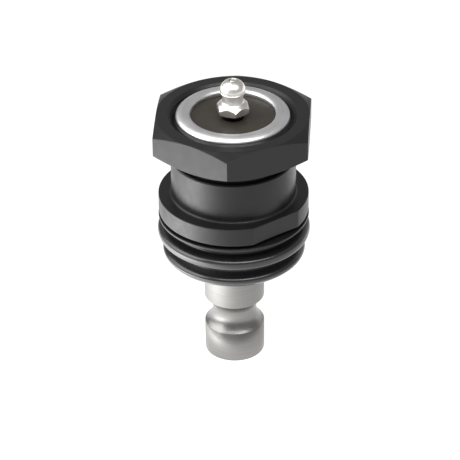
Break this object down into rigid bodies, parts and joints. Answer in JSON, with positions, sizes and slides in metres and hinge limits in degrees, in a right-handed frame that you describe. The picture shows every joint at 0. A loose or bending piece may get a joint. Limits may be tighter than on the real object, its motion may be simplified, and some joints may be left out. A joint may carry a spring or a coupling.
{
  "type": "ball joint",
  "caption": "Greaseable suspension ball joint: flanged round housing with a clamp nut and grease fitting, ribbed rubber boot and a straight stud with a pinch groove.",
  "frame": {"origin": "centre of the ball, which is the middle of the cylinder that the arm's bore sits on", "axes": "+Z along the housing axis towards the grease fitting, the stud points along -Z; the flange's two wrench flats face +Y and -Y"},
  "size_m": [0.0466, 0.0444, 0.0852],
  "materials": {
    "housing_black": "black phosphate, satin",
    "nut_black": "black phosphate, satin",
    "stud_steel": "turned and ground steel, satin",
    "seat_plastic": "natural acetal",
    "spring_steel": "oiled spring steel",
    "cover_phosphate": "dark olive phosphate, satin",
    "seal_rubber": "nitrile rubber",
    "ring_bright": "bright rolled steel",
    "fitting_nickel": "bright zinc plating",
    "boot_rubber": "moulded rubber, slight sheen",
    "boot_ring_black": "black coated spring steel",
    "collar_black": "black acetal"
  },
  "bodies": {
    "housing_body": {"housing": "housing_black", "cover_plate": "cover_phosphate", "cover_seal": "seal_rubber", "closing_ring": "ring_bright", "grease_fitting": "fitting_nickel", "preload_spring": "spring_steel", "check_spring": "spring_steel", "upper_boot_ring": "boot_ring_black", "boot": "boot_rubber"},
    "nut_body": {"clamp_nut": "nut_black"},
    "upper_seat_body": {"upper_seat": "seat_plastic"},
    "check_ball_body": {"check_ball": "fitting_nickel"},
    "swing_body": {"lower_seat": "seat_plastic"},
    "collar_body": {"boot_collar": "collar_black", "lower_boot_ring": "boot_ring_black"},
    "stud_body": {"ball_stud": "stud_steel"}
  },
  "joints": [
    {"name": "nut_unscrew", "type": "slide", "parent": "housing_body", "child": "nut_body", "axis": [0, 0, 1], "range_m": [0, 0.026]},
    {"name": "seat_take_up", "type": "slide", "parent": "housing_body", "child": "upper_seat_body", "axis": [0, 0, 1], "range_m": [0, 0.0002], "stiffness_N_per_m": 20000, "springref_m": -0.0005, "deforming": ["preload_spring"]},
    {"name": "check_valve", "type": "slide", "parent": "housing_body", "child": "check_ball_body", "axis": [0, 0, -1], "range_m": [0, 0.0008], "stiffness_N_per_m": 60, "springref_m": -0.0005, "deforming": ["check_spring"]},
    {"name": "stud_swing_direction", "type": "hinge", "parent": "housing_body", "child": "swing_body", "pos_m": [0, 0, 0], "axis": [0, 0, 1], "continuous": true},
    {"name": "stud_tilt", "type": "hinge", "parent": "swing_body", "child": "collar_body", "pos_m": [0, 0, 0], "axis": [1, 0, 0], "range_deg": [-22, 22], "deforming": ["boot"]},
    {"name": "stud_spin", "type": "hinge", "parent": "collar_body", "child": "stud_body", "pos_m": [0, 0, 0], "axis": [0, 0, 1], "continuous": true}
  ]
}
